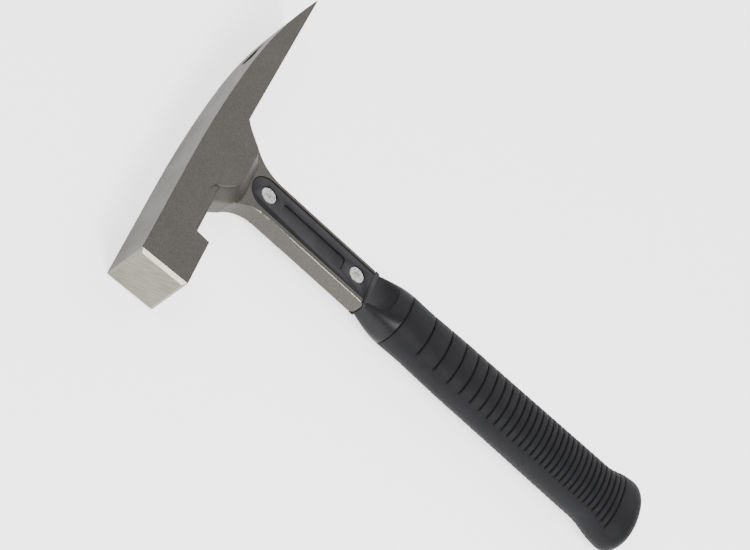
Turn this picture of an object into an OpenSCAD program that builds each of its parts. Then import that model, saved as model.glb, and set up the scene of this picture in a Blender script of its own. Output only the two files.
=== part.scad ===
// Brick hammer: a forged steel head with a long neck, a moulded core and a soft grip.
// It lies on its side: +X towards the chisel edge, +Y towards the top of the head, +Z up.
// The origin is at the centre of the bottom of its box.

/* [Head] */
// Length of the head from the striking face to the chisel edge
head_len = 202; // [196:1:208]
// Height and thickness of the square poll
poll_size = 25; // [24.8:0.1:26]
// Length of the poll up to the step behind it
poll_len = 31; // [28:0.5:33]
// Tilt of the striking face towards the handle, in degrees
face_cant = 3.2; // [0:0.1:5]
// Chamfer round the striking face
face_chamfer = 1.5; // [0.8:0.1:2]
// Depth of the bar behind the poll, on the centre line
bar_depth = 19; // [18:0.1:20]
// Radius of the bar's two lower edges
bar_round = 5; // [3:0.1:5.5]
// Depth of the thick boss over the neck
boss_depth = 26; // [25:0.1:27]
// Depth of the blade where it leaves the boss
blade_depth = 15.2; // [14.5:0.1:16]
// Distance from the striking face at which the top starts to fall away
top_straight = 61; // [56:1:66]
// Radius of the top over the blade's root
top_radius = 800; // [760:10:850]
// Radius of the top near the chisel edge
tip_radius = 310; // [300:5:320]

/* [Nail slot] */
// Distance of the slot's round end from the striking face
slot_x = 152.5; // [148:0.5:156]
// Radius of the slot's round end
slot_r = 4.2; // [3.6:0.1:4.6]
// Length from the round end's centre to the narrow end
slot_len = 15; // [12:0.5:18]
// Half the width of the slot's narrow end
slot_tip_r = 0.7; // [0.5:0.1:1]

/* [Neck] */
// Distance of the neck's centre line from the striking face
neck_x = 86.6; // [86:0.1:87.5]
// Width of the neck across its two rims
neck_w = 22.3; // [21.8:0.1:23]
// Thickness of the neck
neck_t = 9.4; // [9:0.1:10]
// Rounding of the neck's lower corners, seen from the front
neck_round = 3; // [2:0.1:4]
// How far the neck reaches down from the top of the head
neck_end = 105.5; // [103:0.5:107]
// Width of the front rim
front_rim = 2.4; // [2:0.1:2.6]
// Width of the back rim
back_rim = 1.9; // [1.5:0.1:2.1]
// Thickness of the web between the two pockets
web_t = 3.6; // [3:0.1:4.2]
// How far the core's cheeks lie below the rims
cheek_inset = 0.3; // [0.1:0.1:0.5]

/* [Rivets] */
// Diameter of a rivet's flat heads
rivet_head_d = 8; // [7:0.5:9]
// Thickness of a rivet's heads
rivet_head_t = 1; // [0.8:0.1:1.2]
// Outer diameter of a rivet's tube
rivet_tube_d = 5; // [4.5:0.1:5.5]
// Diameter of a rivet's post
rivet_post_d = 3.2; // [3:0.1:3.5]
// Distance of the upper rivet from the top of the head
rivet_depth = 42.3; // [42:0.1:43.5]
// Distance between the two rivets
rivet_gap = 53.8; // [53:0.1:54.5]
// How far the rivets sit behind the neck's centre line
rivet_offset = 0.9; // [0:0.1:1.2]

/* [Handle] */
// Overall length from the top of the head to the butt
overall_len = 275; // [270:1:280]
// Distance from the top of the head to the edge of the grip
grip_top = 123.5; // [122:0.5:126]
// Half the width of the handle where the grip starts
top_a = 14.4; // [13.5:0.1:15]
// Half the thickness of the handle where the grip starts
top_b = 11.8; // [11:0.1:12.4]
// Half the width of the grip along its middle
grip_a = 16; // [15.5:0.1:17]
// Half the thickness of the grip at its waist
grip_b = 11; // [10.5:0.1:11.8]
// Half the width of the flared butt
butt_a = 21; // [18:0.1:22]
// Half the thickness of the flared butt, flush with the head's side
butt_b = 12.5; // [12:0.1:12.5]
// Sideways drift of the handle's centre from the grip's edge to the butt
butt_shift = 1.9; // [0:0.1:2.5]
// Width of the core inside the grip
tang_w = 18; // [16:0.5:19]
// Thickness of the core inside the grip
tang_t = 12; // [11:0.5:13]

/* [Grooves] */
// Number of finger grooves
groove_count = 30; // [20:1:30]
// Distance of the first groove from the grip's edge
groove_start = 14.7; // [14:0.1:16]
// Spacing of the grooves at the butt
groove_pitch = 3; // [2.9:0.05:3.05]
// Width of a groove at the surface
groove_w = 1.1; // [0.8:0.1:1.3]
// Depth of a groove
groove_depth = 0.9; // [0.5:0.1:1.2]
// Half the angle of the smooth band along the front, in degrees
band_angle = 24; // [16:1:40]

/* [Hidden] */

$fn = 64;
EPS = 0.01;
CUT = 60; // longer than any section that a cutter has to clear

STEEL = [0.44, 0.43, 0.41];
RIVET_STEEL = [0.68, 0.68, 0.66];
NYLON = [0.16, 0.16, 0.17];
RUBBER = [0.20, 0.20, 0.21];

half_t = poll_size / 2;
half_neck = neck_t / 2;
step_x = poll_len;
face_low_x = poll_size * tan(face_cant);
neck_front = neck_x - neck_w / 2;
neck_back = neck_x + neck_w / 2;

// The blade's top: two arcs, each tangent to what comes before it
top_arc_end = 75.5;                               // run of the first arc along X
arc1_angle = asin(top_arc_end / top_radius);
arc1_drop = top_radius * (1 - cos(arc1_angle));
arc2_x = top_straight + top_arc_end - tip_radius * sin(arc1_angle);
arc2_y = -arc1_drop - tip_radius * cos(arc1_angle);
tip_angle = asin((head_len - arc2_x) / tip_radius);
tip_y = arc2_y + tip_radius * cos(tip_angle);
edge_flat = 0.4;                                  // height of the chisel edge's own face
bar_side_depth = bar_depth - bar_round;
blade_root_x = 109;                               // where the blade's underside meets the boss

// Pockets on both sides of the neck, which the core's cheeks fill
pocket_front = neck_front + front_rim;
pocket_back = neck_back - back_rim;
pocket_r = (pocket_back - pocket_front) / 2;
pocket_x = (pocket_front + pocket_back) / 2;
pocket_top = 32.3;                                // distance of the pocket's rounded end from the top
pocket_deep = half_neck - web_t / 2;
cheek_z = half_neck - cheek_inset;
rivet_x = neck_x + rivet_offset;
rivet_ys = [-rivet_depth, -rivet_depth - rivet_gap];
head_z = cheek_z - 0.1;                           // outer face of a rivet's head
bore_floor_z = rivet_head_t + 1 - head_z;         // floor of the tube's bore

panel_end = 116.5;                                // lowest point of the collar's flat side panel
panel_r = 30;                                     // radius of that panel's lower edge
panel_lean = 22;                                  // how far the panel leans out from the cheeks
bolster = 2;                                      // how far the cheeks run on into the collar

flare_start = 246;
flare_end = 263;
butt_power = 2.5;                                 // roundness of the butt's rim
tang_end = overall_len - 6;
tang_ribs = [145, 175, 205, 235];                 // depths of the tang's anchor ribs
SIDES = 36;
oval_n = 2.2;                                     // 2 is an ellipse, more is squarer
groove_spread = 7.4;                              // extra spacing of the first two grooves
groove_decay = 0.78;                              // share of the extra that the next space keeps

// ---- curves --------------------------------------------------------------------------

function smooth(t) = let (u = min(max(t, 0), 1)) u * u * (3 - 2 * u);
function mix(a, b, t) = a + (b - a) * t;
function arc(c, r, from, to, steps) =
    [for (i = [0:steps]) let (t = mix(from, to, i / steps)) c + r * [cos(t), sin(t)]];

// One superellipse in the plane Y = -depth, dented where cut(angle) is more than 0
function corner(c, n) = sign(c) * pow(abs(c), 2 / n);
function ring(depth, xc, a, b, n, cut = 0) = [
    for (i = [0:SIDES - 1])
        let (t = 360 * i / SIDES, dent = abs(t - 180) < band_angle ? 0 : cut)
            [xc + (a - dent) * corner(cos(t), n), -depth, (b - dent) * corner(sin(t), n)]
];

// Closed skin over a list of rings that runs down the handle
module skin(rings) {
    last = len(rings) - 1;
    polyhedron(
        points = [for (r = rings) for (p = r) p],
        faces = concat(
            [[for (i = [0:SIDES - 1]) i]],
            [[for (i = [SIDES - 1:-1:0]) last * SIDES + i]],
            [for (k = [0:last - 1]) for (i = [0:SIDES - 1]) let (j = (i + 1) % SIDES)
                each [
                    [k * SIDES + i, (k + 1) * SIDES + i, (k + 1) * SIDES + j],
                    [k * SIDES + i, (k + 1) * SIDES + j, k * SIDES + j]
                ]]
        )
    );
}

// Slab of a 2D outline, centred on the hammer's middle plane
module slab(t) {
    translate([0, 0, -t / 2]) linear_extrude(t) children();
}

module both_sides() {
    children();
    mirror([0, 0, 1]) children();
}

// Puts the hammer, drawn round its middle plane from the striking face and the top, in its frame
module in_frame() {
    translate([-head_len / 2, overall_len / 2, half_t]) children();
}

// ---- head ----------------------------------------------------------------------------

// Bar, poll and blade seen from the side, down to the full-thickness edges
module bar_outline() {
    polygon(concat(
        [[0, 0]],
        arc([top_straight, -top_radius], top_radius, 90, 90 - arc1_angle, 10),
        arc([arc2_x, arc2_y], tip_radius, 90 - arc1_angle - 1, 90 - tip_angle, 12),
        [
            [head_len, tip_y - edge_flat],
            [blade_root_x, -blade_depth],
            [neck_x, -bar_side_depth],
            [step_x, -bar_side_depth]
        ],
        [[step_x, -poll_size + 1], [step_x - 1, -poll_size], [face_low_x, -poll_size]]
    ));
}

// Striking face: a canted square with a chamfer on all four edges
module poll_trim() {
    c = face_chamfer;
    rotate([0, 0, face_cant])
        translate([0, -poll_size - c, -half_t - c]) difference() {
            translate([-CUT, -CUT, -CUT]) cube([CUT + c, 3 * CUT, 3 * CUT]);
            translate([c, 0, 0]) rotate([90, 0, 90]) face_pyramid(c);
        }
}

// Material kept in front of the chamfer's root: a square frustum that points along -Z
module face_pyramid(c) {
    side = poll_size;
    translate([side / 2 + c, side / 2 + c, -c]) rotate([0, 0, 45])
        cylinder(h = c, r1 = (side / 2 - c) * sqrt(2), r2 = side / 2 * sqrt(2), $fn = 4);
}

// Underside of the bar between poll and neck, with its rounded lower edges
module bar_keel() {
    inner = half_t - bar_round;
    translate([step_x - 1, 0, 0]) rotate([90, 0, 90]) linear_extrude(neck_front - step_x) {
        translate([-bar_depth, -inner]) square([bar_depth - 5, 2 * inner]);
        translate([-bar_side_depth, -half_t]) square([bar_side_depth - 5, 2 * half_t]);
        for (side = [-1, 1])
            translate([-bar_side_depth, side * inner]) circle(r = bar_round);
    }
}

// Thick boss over the neck, with shoulders that slope in to the neck's thickness
module boss() {
    hull() {
        slab(poll_size) polygon([
            [60, -8], [60.6, -bar_side_depth - 1.5], [63, -boss_depth + 7.6], [65.5, -boss_depth + 4.6],
            [68.5, -boss_depth + 2.2], [72, -boss_depth + 0.6], [76, -boss_depth],
            [95.5, -boss_depth], [103, -18], [109, -12]
        ]);
        slab(neck_t) polygon([
            [61, -12], [61, -23], [67, -28.6], [72, -34], [101, -34], [107.4, -26.8],
            [112, -20], [116, -12]
        ]);
    }
}

// Neck seen from the side: the throat's curve in front and a longer curve behind
module neck_outline() {
    throat_r = 22;
    back_r = 24;
    curve_end = -46;
    polygon(concat(
        arc([neck_front - throat_r, curve_end], throat_r, 52, 0, 8),
        [[neck_front, -neck_end], [neck_back, -neck_end]],
        arc([neck_back + back_r, curve_end], back_r, 180, 127, 8)
    ));
}

// Neck seen from the front, with its two lower corners rounded
module neck_front_view() {
    side = half_neck - neck_round;
    translate([-neck_end + neck_round, -half_neck]) square([neck_end, neck_t]);
    translate([-neck_end, -side]) square([neck_end, 2 * side]);
    for (z = [-side, side])
        translate([-neck_end + neck_round, z]) circle(r = neck_round);
}

module neck() {
    intersection() {
        slab(neck_t) neck_outline();
        rotate([90, 0, 90]) linear_extrude(head_len) neck_front_view();
    }
}

// Stadium-ended pocket, open at the neck's lower end
module pocket_outline() {
    top_y = -pocket_top - pocket_r;
    translate([pocket_x, top_y]) circle(r = pocket_r);
    translate([pocket_front, -neck_end - CUT]) square([2 * pocket_r, neck_end + CUT + top_y]);
}

// Teardrop slot that pulls nails: a round end that tapers to a narrow one
module nail_slot() {
    translate([slot_x, 0, 0]) rotate([90, 0, 0]) {
        cylinder(h = CUT, r = slot_r);
        linear_extrude(CUT) polygon([
            [slot_r * 0.25, -slot_r * 0.968], [slot_len, -slot_tip_r],
            [slot_len, slot_tip_r], [slot_r * 0.25, slot_r * 0.968]
        ]);
        translate([slot_len, 0, 0]) cylinder(h = CUT, r = slot_tip_r);
    }
}

module head() {
    color(STEEL) in_frame() difference() {
        union() {
            slab(poll_size) bar_outline();
            bar_keel();
            boss();
            neck();
        }
        poll_trim();
        nail_slot();
        both_sides() translate([0, 0, web_t / 2]) linear_extrude(CUT) pocket_outline();
        for (y = rivet_ys)
            translate([rivet_x, y, -CUT / 2]) cylinder(h = CUT, d = rivet_tube_d);
    }
}

// ---- core ----------------------------------------------------------------------------

// Collar from the neck's section to the grip's oval
function collar_ring(depth) =
    let (t = smooth((depth - neck_end) / (grip_top - neck_end)),
         grow = (depth - neck_end) / (grip_top - neck_end))
        ring(depth, mix(neck_x, neck_x + 0.6, t), mix(neck_w / 2, top_a, t),
             mix(half_neck, top_b, grow), mix(7, oval_n, sqrt(grow)));

// Corners of the collar that fill in round the neck's rounded end
module collar_bed() {
    difference() {
        slab(neck_t) translate([neck_front, -neck_end]) square([neck_w, neck_round]);
        rotate([90, 0, 90]) linear_extrude(head_len) neck_front_view();
    }
}

module collar() {
    difference() {
        union() {
            skin([for (i = [0:8]) collar_ring(mix(neck_end, grip_top, i / 8))]);
            collar_bed();
        }
        // flat side panels that carry on from the cheeks and lean outwards
        both_sides() translate([0, -neck_end, cheek_z]) {
            linear_extrude(CUT) translate([pocket_front, -EPS])
                square([neck_back - pocket_front, neck_round]);
            rotate([-panel_lean, 0, 0]) linear_extrude(CUT) translate([0, neck_end]) intersection() {
                translate([neck_x + 2, -panel_end + panel_r]) circle(r = panel_r);
                translate([pocket_front, -panel_end - 1])
                    square([neck_back - pocket_front, panel_end + 1 - neck_end]);
            }
        }
    }
}

// Two cheeks that fill the neck's pockets and grow out of the collar
module cheeks() {
    both_sides() translate([0, 0, web_t / 2]) linear_extrude(cheek_z - web_t / 2)
        intersection() {
            pocket_outline();
            translate([neck_front, -neck_end - bolster]) square([neck_w, neck_end]);
        }
}

module tang() {
    shift = neck_x + 0.8;
    rib_len = 3;
    translate([shift, -grip_top + EPS, 0]) rotate([90, 0, 0]) {
        linear_extrude(tang_end - grip_top) tang_section(0);
        for (d = tang_ribs)
            translate([0, 0, d - grip_top]) linear_extrude(rib_len) tang_section(1);
    }
}

// Rounded rectangle of the tang, grown all round by a rib's height
module tang_section(grow) {
    r = 4;
    w = tang_w + 2 * grow;
    t = tang_t + 2 * grow;
    square([w - 2 * r, t], center = true);
    square([w, t - 2 * r], center = true);
    for (x = [-1, 1], z = [-1, 1])
        translate([x * (w / 2 - r), z * (t / 2 - r)]) circle(r = r);
}

module handle_core() {
    color(NYLON) in_frame() difference() {
        union() {
            collar();
            cheeks();
            tang();
        }
        for (y = rivet_ys) both_sides() {
            translate([rivet_x, y, 0]) cylinder(h = CUT, d = rivet_tube_d);
            translate([rivet_x, y, head_z - rivet_head_t]) cylinder(h = CUT, d = rivet_head_d);
        }
    }
}

// ---- grip ----------------------------------------------------------------------------

function grip_half_w(d) =
    top_a + (grip_a - top_a) * smooth((d - grip_top) / 42)
    + (butt_a - grip_a) * smooth((d - flare_start) / (flare_end - flare_start));
function grip_half_t(d) =
    mix(top_b, grip_b, smooth((d - grip_top) / 16))
    + (butt_b - grip_b) * smooth((d - 150) / (flare_end - 150));
function butt_round(d) =
    let (u = min(max((d - flare_end) / (overall_len - flare_end), 0), 1))
        pow(1 - pow(u, butt_power), 1 / butt_power);
function grip_x(d) = neck_x + 0.6 + butt_shift * (d - grip_top) / (overall_len - grip_top);
function grip_ring(d, cut = 0) =
    ring(d, grip_x(d), grip_half_w(d) * butt_round(d), grip_half_t(d) * butt_round(d), oval_n, cut);

// Depth of groove i: the spacing shrinks towards the butt
function groove_at(i) =
    grip_top + groove_start + groove_pitch * i
    + groove_spread * (1 - pow(groove_decay, i)) / (1 - groove_decay);

module grip_body() {
    last = overall_len - 0.02;
    dome = [for (i = [0:8]) mix(flare_end, last, sin(i * 10))];
    skin(concat(
        [for (d = [grip_top, grip_top + 5, grip_top + 10]) grip_ring(d)],
        [for (i = [0:groove_count - 1]) each [
            grip_ring(groove_at(i) - groove_w / 2),
            grip_ring(groove_at(i), groove_depth),
            grip_ring(groove_at(i) + groove_w / 2)
        ]],
        [for (d = dome) grip_ring(d)],
        [grip_ring(last)]
    ));
}

module grip() {
    color(RUBBER) in_frame() difference() {
        grip_body();
        tang();
    }
}

// ---- rivets --------------------------------------------------------------------------

// Post with a flat head on the upper side, driven into the tube from the other side
module rivet_post(y) {
    color(RIVET_STEEL) in_frame() translate([rivet_x, y, 0]) {
        translate([0, 0, head_z - rivet_head_t]) cylinder(h = rivet_head_t, d = rivet_head_d);
        translate([0, 0, bore_floor_z])
            cylinder(h = head_z - rivet_head_t - bore_floor_z, d = rivet_post_d);
    }
}

module rivet_tube(y) {
    color(RIVET_STEEL) in_frame() translate([rivet_x, y, 0]) difference() {
        union() {
            translate([0, 0, -head_z]) cylinder(h = rivet_head_t, d = rivet_head_d);
            translate([0, 0, -head_z]) cylinder(h = 2 * head_z - rivet_head_t, d = rivet_tube_d);
        }
        translate([0, 0, bore_floor_z]) cylinder(h = CUT, d = rivet_post_d);
    }
}

module upper_rivet_post() { rivet_post(rivet_ys[0]); }
module upper_rivet_tube() { rivet_tube(rivet_ys[0]); }
module lower_rivet_post() { rivet_post(rivet_ys[1]); }
module lower_rivet_tube() { rivet_tube(rivet_ys[1]); }

head();
handle_core();
grip();
upper_rivet_post();
upper_rivet_tube();
lower_rivet_post();
lower_rivet_tube();
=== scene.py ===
import logging
import math
from collections.abc import Callable, Iterator, Sequence
from contextlib import contextmanager
from dataclasses import dataclass, field
from enum import Enum

import bmesh
import bpy
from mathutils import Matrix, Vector


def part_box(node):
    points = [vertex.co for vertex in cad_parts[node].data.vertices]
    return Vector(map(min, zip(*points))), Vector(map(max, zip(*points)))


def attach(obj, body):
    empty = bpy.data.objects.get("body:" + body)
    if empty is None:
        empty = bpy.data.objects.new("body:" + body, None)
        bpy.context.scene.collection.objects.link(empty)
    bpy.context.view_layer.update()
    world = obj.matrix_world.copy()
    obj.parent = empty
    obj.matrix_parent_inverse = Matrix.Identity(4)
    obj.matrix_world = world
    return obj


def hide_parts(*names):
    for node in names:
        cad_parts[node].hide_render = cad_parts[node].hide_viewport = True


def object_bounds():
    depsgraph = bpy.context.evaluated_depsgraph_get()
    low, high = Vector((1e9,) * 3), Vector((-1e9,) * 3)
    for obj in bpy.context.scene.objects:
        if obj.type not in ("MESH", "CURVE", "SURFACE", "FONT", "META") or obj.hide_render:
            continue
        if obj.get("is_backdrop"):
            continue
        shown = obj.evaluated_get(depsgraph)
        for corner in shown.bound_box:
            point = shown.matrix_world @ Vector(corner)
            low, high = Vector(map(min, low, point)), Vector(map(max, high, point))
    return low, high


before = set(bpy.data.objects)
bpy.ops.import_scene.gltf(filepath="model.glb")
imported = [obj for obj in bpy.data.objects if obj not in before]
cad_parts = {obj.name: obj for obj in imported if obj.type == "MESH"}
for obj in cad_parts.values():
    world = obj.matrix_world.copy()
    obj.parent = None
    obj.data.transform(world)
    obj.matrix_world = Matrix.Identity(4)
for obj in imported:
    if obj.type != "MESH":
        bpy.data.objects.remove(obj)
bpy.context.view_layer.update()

logging.basicConfig(level=logging.INFO, format="%(message)s")
LOG = logging.getLogger("brick_hammer")

MM = 0.001
BODY = "root"

# Vertices closer than this, in metres, are one; seams left by cuts need a little more.
WELD = 1e-6
SEAM_WELD = 2e-6

# Height in millimetres at which a cutter clears any part of the hammer.
CLEAR = 20.0

Point2 = tuple[float, float]
Pair = tuple[float, float]
Triple = tuple[float, float, float]

# Run and depth of the rivets' axes, in millimetres.
RIVETS: dict[str, Point2] = {"upper": (87.5, 42.3), "lower": (87.5, 96.1)}


# ---- Place: the hammer's own measures, read from the frame ----


class Side(Enum):
    """The hammer's two flat sides."""

    UPPER = 1
    LOWER = -1


@dataclass(frozen=True)
class Place:
    """Turns the maker's measures into points of the frame.

    The measures are in millimetres: `run` from the striking face towards the chisel edge,
    `depth` from the top of the head down the handle, and `out` from the middle plane.
    """

    face_x: float
    top_y: float
    mid_z: float

    @classmethod
    def of_head(cls, node: str = "head") -> "Place":
        """Reads the place of the head.

        Args:
            node: The frame's node that holds the head.

        Returns:
            The place, in metres.
        """
        low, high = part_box(node)
        return cls(low.x, high.y, (low.z + high.z) / 2)

    def at(self, run: float, depth: float, out: float = 0.0) -> Vector:
        """Returns the frame's point for a run, a depth and a distance from the middle plane."""
        return Vector((self.face_x + run * MM, self.top_y - depth * MM, self.mid_z + out * MM))

    def depth_of(self, y: float) -> float:
        """Returns the depth, in millimetres, of a height in the frame."""
        return (self.top_y - y) / MM


# ---- Bench: the hand tools that every piece is made with ----


def smooth_step(t: float) -> float:
    """Returns a soft ramp from 0 to 1 for t from 0 to 1."""
    u = min(max(t, 0.0), 1.0)
    return u * u * (3 - 2 * u)


def mix(a: float, b: float, t: float) -> float:
    """Returns the value a share t of the way from a to b."""
    return a + (b - a) * t


def arc(centre: Point2, radius: float, start: float, end: float, steps: int) -> list[Point2]:
    """Lays points along an arc.

    Args:
        centre: Run and depth of the arc's centre.
        radius: Radius of the arc.
        start: Angle of the first point, in degrees, where 90 points to the head's top.
        end: Angle of the last point, in degrees.
        steps: Number of chords.

    Returns:
        The points, as run and depth.
    """
    angles = [math.radians(mix(start, end, i / steps)) for i in range(steps + 1)]
    return [(centre[0] + radius * math.cos(a), centre[1] - radius * math.sin(a)) for a in angles]


def oval_point(place: Place, centre: Point2, half: Pair, turn: float, power: float) -> Vector:
    """Returns a point of a squared oval across the handle.

    Args:
        place: The hammer's place in the frame.
        centre: Run and depth of the oval's centre.
        half: Half the oval's width and half its thickness.
        turn: Angle of the point, in radians.
        power: 2 for an ellipse, more for a squarer oval.
    """
    across, out = (
        size * math.copysign(abs(c) ** (2 / power), c)
        for size, c in zip(half, (math.cos(turn), math.sin(turn)))
    )
    return place.at(centre[0] + across, centre[1], out)


def clear_selection() -> None:
    """Leaves object mode with nothing selected."""
    if bpy.context.object and bpy.context.object.mode != "OBJECT":
        bpy.ops.object.mode_set(mode="OBJECT")
    bpy.ops.object.select_all(action="DESELECT")


def take(piece: bpy.types.Object) -> None:
    """Makes a piece the only selected one, and the active one."""
    clear_selection()
    piece.select_set(True)
    bpy.context.view_layer.objects.active = piece


@contextmanager
def editing(piece: bpy.types.Object) -> Iterator[bmesh.types.BMesh]:
    """Opens a piece in edit mode.

    Args:
        piece: The piece to edit.

    Yields:
        The piece's edit mesh.
    """
    take(piece)
    bpy.ops.object.mode_set(mode="EDIT")
    yield bmesh.from_edit_mesh(piece.data)
    bpy.ops.object.mode_set(mode="OBJECT")


def pick(piece: bpy.types.Object, kind: str, wanted: Callable[..., bool]) -> int:
    """Selects vertices, edges or faces of a piece in edit mode, and nothing else.

    Args:
        piece: The piece, in edit mode.
        kind: VERT, EDGE or FACE.
        wanted: Says of each element whether it is selected.

    Returns:
        The number of elements selected.
    """
    bpy.ops.mesh.select_mode(type=kind)
    bpy.ops.mesh.select_all(action="DESELECT")
    mesh = bmesh.from_edit_mesh(piece.data)
    elements = {"VERT": mesh.verts, "EDGE": mesh.edges, "FACE": mesh.faces}[kind]
    found = [element for element in elements if wanted(element)]
    for element in found:
        element.select_set(True)
    mesh.select_flush_mode()
    bmesh.update_edit_mesh(piece.data)
    return len(found)


def settle(piece: bpy.types.Object) -> bpy.types.Object:
    """Moves a piece's place, turn and scale into its mesh."""
    take(piece)
    bpy.ops.object.transform_apply(location=True, rotation=True, scale=True)
    return piece


def heal(piece: bpy.types.Object, gap: float = WELD) -> None:
    """Merges a piece's double vertices and turns its faces outwards.

    Args:
        piece: The piece to heal.
        gap: Distance under which vertices are one, in metres.
    """
    with editing(piece):
        bpy.ops.mesh.select_all(action="SELECT")
        bpy.ops.mesh.remove_doubles(threshold=gap)
        bpy.ops.mesh.normals_make_consistent(inside=False)


def prism(name: str, outline: Sequence[Vector], along: Vector) -> bpy.types.Object:
    """Draws a closed outline point by point, fills it and pulls it out into a solid.

    Args:
        name: Name of the new piece.
        outline: The outline's points, in order, in the frame.
        along: How far and which way the filled outline is pulled.

    Returns:
        The solid.
    """
    clear_selection()
    bpy.ops.mesh.primitive_plane_add(size=MM, location=outline[0])
    piece = bpy.context.object
    piece.name = piece.data.name = name
    settle(piece)
    with editing(piece) as mesh:
        mesh.verts.ensure_lookup_table()
        start = mesh.verts[0]
        pick(piece, "VERT", lambda v: v is not start)
        bpy.ops.mesh.delete(type="VERT")
        bpy.ops.mesh.select_all(action="SELECT")
        mesh.verts.ensure_lookup_table()
        mesh.verts[0].co = outline[0]
        for before, after in zip(outline, outline[1:]):
            bpy.ops.mesh.extrude_region_move(TRANSFORM_OT_translate={"value": after - before})
        bpy.ops.mesh.select_all(action="SELECT")
        bpy.ops.mesh.edge_face_add()
        bpy.ops.mesh.extrude_region_move(TRANSFORM_OT_translate={"value": along})
    heal(piece)
    return piece


def slab(
    name: str, place: Place, outline: Sequence[Point2], start: float, end: float
) -> bpy.types.Object:
    """Pulls an outline of runs and depths out into a solid across the hammer.

    Args:
        name: Name of the new piece.
        place: The hammer's place in the frame.
        outline: The outline's runs and depths, in order.
        start: Distance of the first flat side from the middle plane.
        end: Distance of the other flat side.

    Returns:
        The solid.
    """
    points = [place.at(run, depth, start) for run, depth in outline]
    return prism(name, points, Vector((0, 0, (end - start) * MM)))


def loft(name: str, rings: Sequence[Sequence[Vector]]) -> bpy.types.Object:
    """Bridges a row of rings into a closed skin.

    Args:
        name: Name of the new piece.
        rings: The rings in order, each with the same number of points.

    Returns:
        The solid.
    """
    clear_selection()
    count = len(rings[0])
    bpy.ops.mesh.primitive_circle_add(vertices=count, radius=MM)
    piece = bpy.context.object
    piece.name = piece.data.name = name
    with editing(piece) as mesh:
        for ring in rings[1:]:
            bpy.ops.mesh.primitive_circle_add(vertices=count, radius=MM)
        mesh = bmesh.from_edit_mesh(piece.data)
        mesh.verts.ensure_lookup_table()
        for vertex, point in zip(mesh.verts, (p for ring in rings for p in ring)):
            vertex.co = point
        for k in range(len(rings) - 1):
            low, high = k * count, (k + 2) * count
            pick(piece, "EDGE", lambda e: all(low <= v.index < high for v in e.verts)
                 and len(e.link_faces) < 2 and _in_one_ring(e, count))
            bpy.ops.mesh.bridge_edge_loops()
        for end in (0, len(rings) - 1):
            pick(piece, "VERT", lambda v: v.index // count == end)
            bpy.ops.mesh.edge_face_add()
    heal(piece, WELD / 10)
    return piece


def _in_one_ring(edge: bmesh.types.BMEdge, count: int) -> bool:
    """Says whether both ends of an edge belong to the same ring."""
    return len({v.index // count for v in edge.verts}) == 1


def apply_modifier(piece: bpy.types.Object, kind: str, **settings: object) -> None:
    """Adds a modifier to a piece and applies it at once.

    Args:
        piece: The piece.
        kind: The modifier's type.
        **settings: The modifier's own settings.
    """
    take(piece)
    modifier = piece.modifiers.new(kind.title(), kind)
    for key, value in settings.items():
        setattr(modifier, key, value)
    bpy.ops.object.modifier_apply(modifier=modifier.name)


def combine(piece: bpy.types.Object, other: bpy.types.Object, how: str) -> None:
    """Joins, cuts or overlaps a piece with another, which is used up.

    Args:
        piece: The piece that stays.
        other: The tool.
        how: UNION, DIFFERENCE or INTERSECT.
    """
    apply_modifier(piece, "BOOLEAN", operation=how, object=other, solver="MANIFOLD")
    data = other.data
    bpy.data.objects.remove(other)
    bpy.data.meshes.remove(data)


def bevel(
    piece: bpy.types.Object, width: float, segments: int, wanted: Callable[..., bool]
) -> None:
    """Rounds some edges of a piece.

    Args:
        piece: The piece.
        width: Width of the rounding, in millimetres.
        segments: Facets of the rounding.
        wanted: Says of each edge whether it is rounded.
    """
    with editing(piece):
        pick(piece, "EDGE", wanted)
        bpy.ops.mesh.bevel(offset=width * MM, segments=segments, clamp_overlap=True)


def soften(piece: bpy.types.Object, width: float, angle: float, segments: int) -> None:
    """Rounds every edge of a piece that is sharper than an angle.

    Args:
        piece: The piece.
        width: Width of the rounding, in millimetres.
        angle: Angle between two faces over which their edge is rounded, in degrees.
        segments: Facets of the rounding.
    """
    apply_modifier(
        piece, "BEVEL", width=width * MM, segments=segments, limit_method="ANGLE",
        angle_limit=math.radians(angle), miter_outer="MITER_ARC", use_clamp_overlap=True,
    )


def shade(piece: bpy.types.Object, angle: float) -> None:
    """Shades a piece smooth up to an angle, in degrees."""
    take(piece)
    bpy.ops.object.shade_smooth_by_angle(angle=math.radians(angle))


def fit_out(
    piece: bpy.types.Object, nodes: Sequence[str], finishes: Sequence[bpy.types.Material]
) -> None:
    """Gives a finished piece its finishes and its part in the frame.

    Args:
        piece: The finished piece.
        nodes: The frame's nodes that it stands for.
        finishes: Its materials, the main one first.
    """
    piece.data.materials.clear()
    piece.data.polygons.foreach_set("material_index", [0] * len(piece.data.polygons))
    for finish in finishes:
        piece.data.materials.append(finish)
    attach(piece, BODY)
    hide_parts(*nodes)
    LOG.info("%s: %d faces", piece.name, len(piece.data.polygons))


# ---- Finishes ----

Socket = bpy.types.NodeSocket
Colour = Triple

# Places of the mix node's share, two colours and result among its sockets.
MIX_SHARE, MIX_FIRST, MIX_SECOND, MIX_RESULT = 0, 6, 7, 2


def srgb(red: int, green: int, blue: int) -> Colour:
    """Returns the linear colour of an sRGB one."""
    return tuple(
        c / 12.92 if c <= 0.04045 else ((c + 0.055) / 1.055) ** 2.4
        for c in (red / 255, green / 255, blue / 255)
    )


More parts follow.
